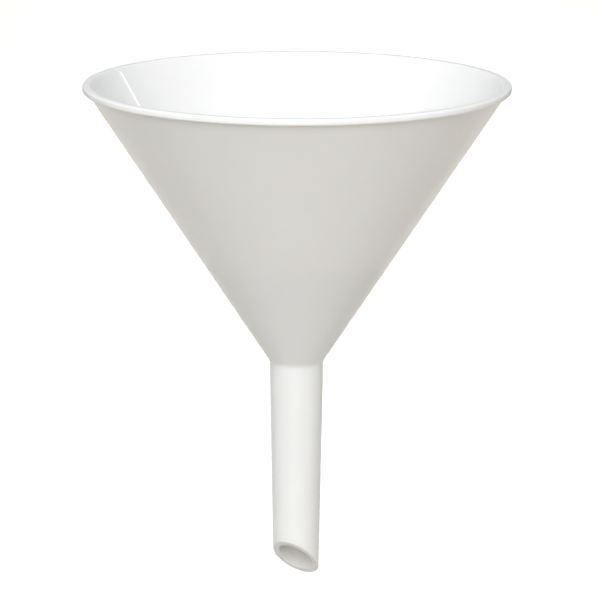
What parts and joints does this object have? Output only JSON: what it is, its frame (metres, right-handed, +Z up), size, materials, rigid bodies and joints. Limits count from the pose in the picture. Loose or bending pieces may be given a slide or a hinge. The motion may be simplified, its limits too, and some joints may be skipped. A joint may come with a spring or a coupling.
{
  "type": "laboratory filter funnel",
  "caption": "White plastic conical filter funnel with a rolled lip, a tapered stem cut on the slant, and a lift-out perforated plate that carries a paper disc.",
  "frame": {"origin": "on the funnel's axis in the plane of the neck, where the bowl meets the stem and where the funnel sits in a ring or a flask's mouth", "axes": "+Z up the axis, out of the bowl's mouth; the bevelled end of the stem faces -Y; +X to the right of someone who looks at the bevel"},
  "size_m": [0.1, 0.1, 0.1217],
  "materials": {
    "funnel_plastic": "satin white moulded polypropylene, slightly translucent",
    "plate_plastic": "satin white moulded polypropylene",
    "filter_paper": "matt, soft and fibrous"
  },
  "bodies": {
    "funnel": {"funnel_body": "funnel_plastic"},
    "plate": {"perforated_plate": "plate_plastic"},
    "paper": {"filter_paper": "filter_paper"}
  },
  "joints": [
    {"name": "plate_lift", "type": "slide", "parent": "funnel", "child": "plate", "axis": [0, 0, 1], "range_m": [0, 0.05]},
    {"name": "paper_lift", "type": "slide", "parent": "plate", "child": "paper", "axis": [0, 0, 1], "range_m": [0, 0.05]}
  ]
}
